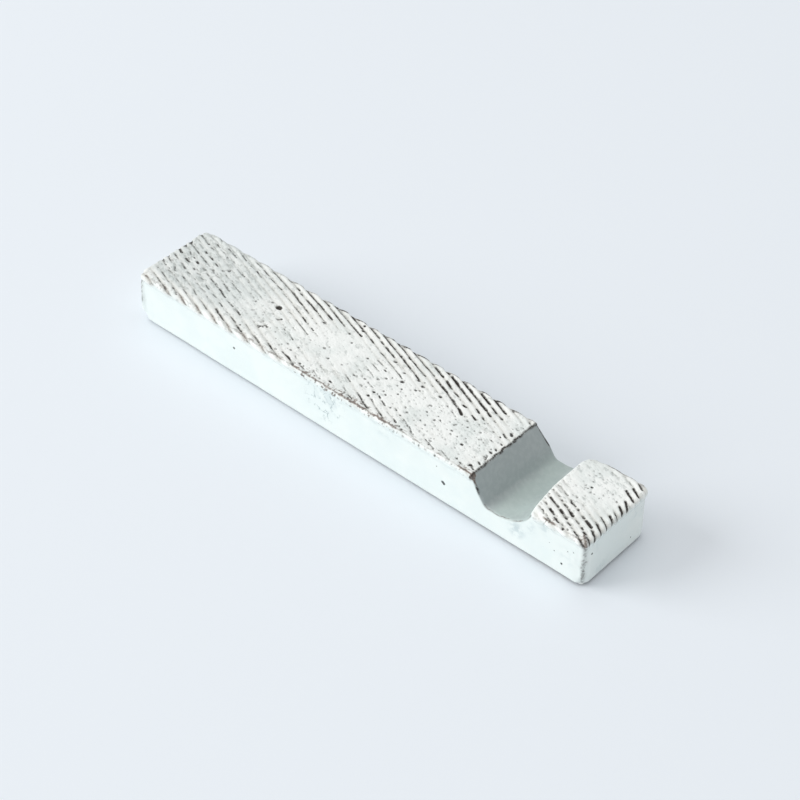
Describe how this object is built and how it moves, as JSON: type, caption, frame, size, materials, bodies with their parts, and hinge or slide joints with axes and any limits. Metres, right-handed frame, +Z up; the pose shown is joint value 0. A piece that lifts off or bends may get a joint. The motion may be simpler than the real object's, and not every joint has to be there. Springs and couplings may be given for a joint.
{
  "type": "chopstick rest",
  "caption": "Long fired clay bar with slanting white ridges on top and a scooped notch near one end, in which the tips of a pair of chopsticks lie.",
  "frame": {"origin": "middle of the underside, on the surface that the rest stands on", "axes": "+X along the bar towards the short block, +Y across the bar, +Z up"},
  "size_m": [0.105, 0.0176, 0.0109],
  "materials": {
    "stoneware_clay": "bare fired clay, matt and gritty",
    "white_slip": "white slip under a thin dry glaze, satin",
    "white_glaze": "soft white glaze with a cool cast, gloss",
    "pooled_glaze": "grey green glaze pooled over the clay, gloss"
  },
  "bodies": {
    "root": {"clay_body": "stoneware_clay", "long_deck_slip": "white_slip", "short_deck_slip": "white_slip", "wall_glaze": "white_glaze", "notch_glaze": "pooled_glaze"}
  },
  "joints": []
}
